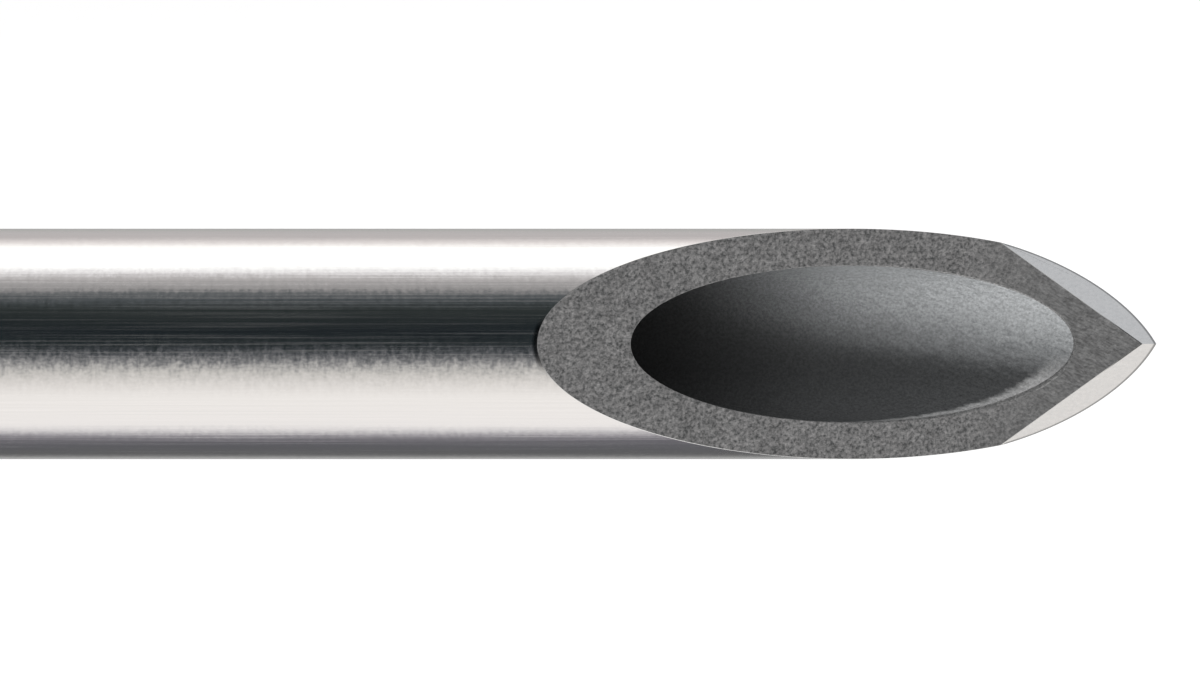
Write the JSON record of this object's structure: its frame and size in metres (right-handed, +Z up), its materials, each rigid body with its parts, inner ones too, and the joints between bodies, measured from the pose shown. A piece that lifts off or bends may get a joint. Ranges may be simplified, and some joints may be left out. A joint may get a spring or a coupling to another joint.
{
  "type": "spinal needle",
  "caption": "Disposable spinal needle: a bevelled steel tube bonded in a clear Luer hub, with a matched stylet wire that slides out by its ribbed, keyed handle.",
  "frame": {"origin": "on the needle's axis, at the mouth of the hub's Luer socket", "axes": "+X along the needle to its point, +Z up and the way the bevel and the key notch face, +Y to the left when looking from the hub to the point"},
  "size_m": [0.1398, 0.0098, 0.0078],
  "materials": {
    "cannula_steel": "drawn and polished stainless tube with a fine ground point",
    "wire_steel": "drawn stainless wire with a ground end",
    "adhesive": "cured clear adhesive, faintly yellow",
    "hub_clear": "clear moulded polycarbonate",
    "handle_pink": "satin moulded plastic in the pink that marks this tube size"
  },
  "bodies": {
    "needle": {"cannula": "cannula_steel", "cannula_bond": "adhesive", "hub": "hub_clear"},
    "stylet": {"stylet_wire": "wire_steel", "stylet_handle": "handle_pink", "stylet_bond": "adhesive"}
  },
  "joints": [
    {"name": "stylet_slide", "type": "slide", "parent": "needle", "child": "stylet", "axis": [-1, 0, 0], "range_m": [-0.012, 0.082]}
  ]
}
